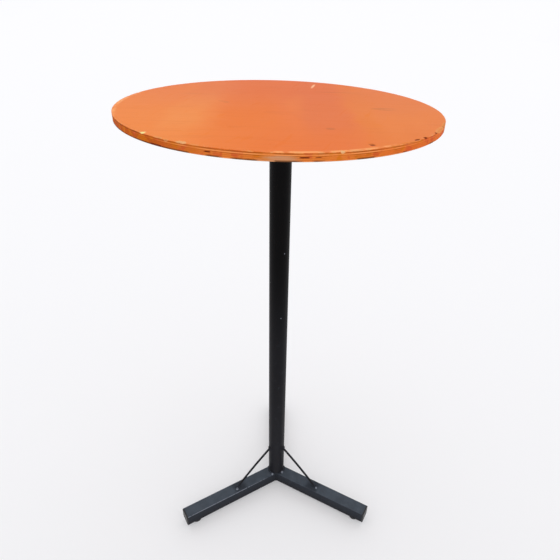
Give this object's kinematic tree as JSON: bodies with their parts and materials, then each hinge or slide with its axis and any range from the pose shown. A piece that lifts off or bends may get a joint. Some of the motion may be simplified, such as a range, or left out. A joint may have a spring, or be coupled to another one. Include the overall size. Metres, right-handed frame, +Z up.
{
  "type": "pub table",
  "caption": "Bar-height pub table: round orange-stained plywood top on a black steel column with splayed square-tube legs, thin rod braces and levelling feet.",
  "frame": {"origin": "on the floor, on the axis of the column", "axes": "+Z up; -Y towards the viewer between the two front legs, +Y along the rear leg, +X to the viewer's right"},
  "size_m": [0.5999, 0.6, 1.1],
  "materials": {
    "stained_plywood": "orange stain under worn satin lacquer",
    "black_paint": "satin black paint",
    "black_plastic": "moulded, matte",
    "zinc_plate": "bright zinc plate"
  },
  "bodies": {
    "stand": {"table_top": "stained_plywood", "top_plate": "black_paint", "plate_weld": "black_paint", "column_tube": "black_paint", "leg_left": "black_paint", "leg_right": "black_paint", "leg_rear": "black_paint", "leg_welds_left": "black_paint", "leg_welds_right": "black_paint", "leg_welds_rear": "black_paint", "brace_left": "black_paint", "brace_right": "black_paint", "brace_rear": "black_paint", "brace_welds_left": "black_paint", "brace_welds_right": "black_paint", "brace_welds_rear": "black_paint", "end_cap_left": "black_plastic", "end_cap_right": "black_plastic", "end_cap_rear": "black_plastic", "top_screws": "zinc_plate", "foot_nut_left": "zinc_plate", "foot_nut_right": "zinc_plate", "foot_nut_rear": "zinc_plate"},
    "foot_left": {"foot_pad_left": "black_plastic", "foot_stud_left": "zinc_plate"},
    "foot_right": {"foot_pad_right": "black_plastic", "foot_stud_right": "zinc_plate"},
    "foot_rear": {"foot_pad_rear": "black_plastic", "foot_stud_rear": "zinc_plate"}
  },
  "joints": [
    {"name": "foot_left_screw", "type": "slide", "parent": "stand", "child": "foot_left", "axis": [0, 0, -1], "range_m": [0, 0.01]},
    {"name": "foot_right_screw", "type": "slide", "parent": "stand", "child": "foot_right", "axis": [0, 0, -1], "range_m": [0, 0.01]},
    {"name": "foot_rear_screw", "type": "slide", "parent": "stand", "child": "foot_rear", "axis": [0, 0, -1], "range_m": [0, 0.01]}
  ]
}
